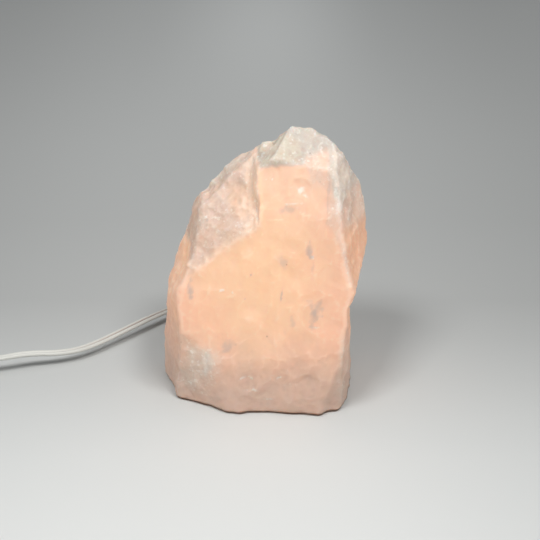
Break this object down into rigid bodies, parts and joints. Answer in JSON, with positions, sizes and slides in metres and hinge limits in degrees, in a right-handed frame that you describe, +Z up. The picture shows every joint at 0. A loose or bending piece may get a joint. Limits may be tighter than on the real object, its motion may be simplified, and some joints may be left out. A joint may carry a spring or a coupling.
{
  "type": "quartz crystal lamp",
  "caption": "Table lamp made of a rough glowing quartz block, bored from below for a small screw bulb on a clip-in holder, with a flat cord, inline switch and plug.",
  "frame": {"origin": "middle of the quartz block's outline seen from above, at the height of the surface it stands on", "axes": "+Z up, -Y the lit front face of the picture, +X to its right"},
  "size_m": [0.4108, 0.1446, 0.172],
  "materials": {
    "rose_quartz": "rough natural quartz, translucent, sawn base",
    "grey_felt": "pressed felt",
    "black_phenolic": "moulded, fine matt",
    "black_phenolic_cap": "moulded, fine matt",
    "socket_brass": "rolled thread, bright",
    "contact_brass": "stamped",
    "core_insulation": "extruded vinyl",
    "spring_steel": "bent strip, nickel plated",
    "zinc_steel": "zinc plated",
    "solder_tin": "domed solder",
    "black_glass": "fused glass insulator",
    "nickel_cap": "nickel plated, rolled thread",
    "bulb_glass": "clear",
    "stem_glass": "pressed",
    "support_wire": "drawn wire",
    "glowing_filament": "coiled tungsten, glowing",
    "white_vinyl": "extruded, satin",
    "tie_film": "film over wire",
    "white_plastic": "moulded, fine texture",
    "rocker_plastic": "moulded, smooth",
    "plug_vinyl": "moulded, satin",
    "blade_brass": "nickel-brass strip"
  },
  "bodies": {
    "cord_set": {"holder_body": "black_phenolic", "holder_cap": "black_phenolic_cap", "holder_screw_shell": "socket_brass", "holder_centre_contact": "contact_brass", "holder_shell_rivet": "contact_brass", "holder_wires": "core_insulation", "spring_clip": "spring_steel", "clip_screws": "zinc_steel", "cord_lead": "white_vinyl", "cord_middle": "white_vinyl", "cord_tail": "white_vinyl", "cord_coil": "white_vinyl", "cord_ties": "tie_film", "switch_lower_shell": "white_plastic", "switch_upper_shell": "white_plastic", "switch_rocker_pin": "zinc_steel", "switch_posts": "contact_brass", "switch_contact_leaf": "contact_brass", "switch_cores": "core_insulation", "switch_screws": "zinc_steel", "plug_body": "plug_vinyl", "plug_narrow_blade": "blade_brass", "plug_wide_blade": "blade_brass"},
    "crystal": {"quartz_body": "rose_quartz", "base_pads": "grey_felt"},
    "bulb_envelope": {"bulb_glass": "bulb_glass", "bulb_insulator": "black_glass", "bulb_tip_contact": "solder_tin"},
    "bulb_cap": {"bulb_screw_cap": "nickel_cap", "bulb_stem": "stem_glass", "bulb_support_wires": "support_wire", "bulb_filament": "glowing_filament"},
    "rocker": {"switch_rocker": "rocker_plastic"}
  },
  "joints": [
    {"name": "crystal_lift", "type": "slide", "parent": "cord_set", "child": "crystal", "axis": [0, 0, 1], "range_m": [0, 0.13]},
    {"name": "bulb_travel", "type": "slide", "parent": "cord_set", "child": "bulb_envelope", "axis": [0, 0, 1], "range_m": [0, 0.0102]},
    {"name": "bulb_turn", "type": "hinge", "parent": "bulb_envelope", "child": "bulb_cap", "pos_m": [0, 0.003, 0.05], "axis": [0, 0, 1], "range_deg": [0, 1440]},
    {"name": "rocker_tilt", "type": "hinge", "parent": "cord_set", "child": "rocker", "pos_m": [-0.235, 0, 0.0144], "axis": [0, -1, 0], "range_deg": [0, 24]}
  ],
  "couplings": [
    {"joint": "bulb_travel", "follows": "bulb_turn", "m_per_rad": 0.00040425}
  ]
}
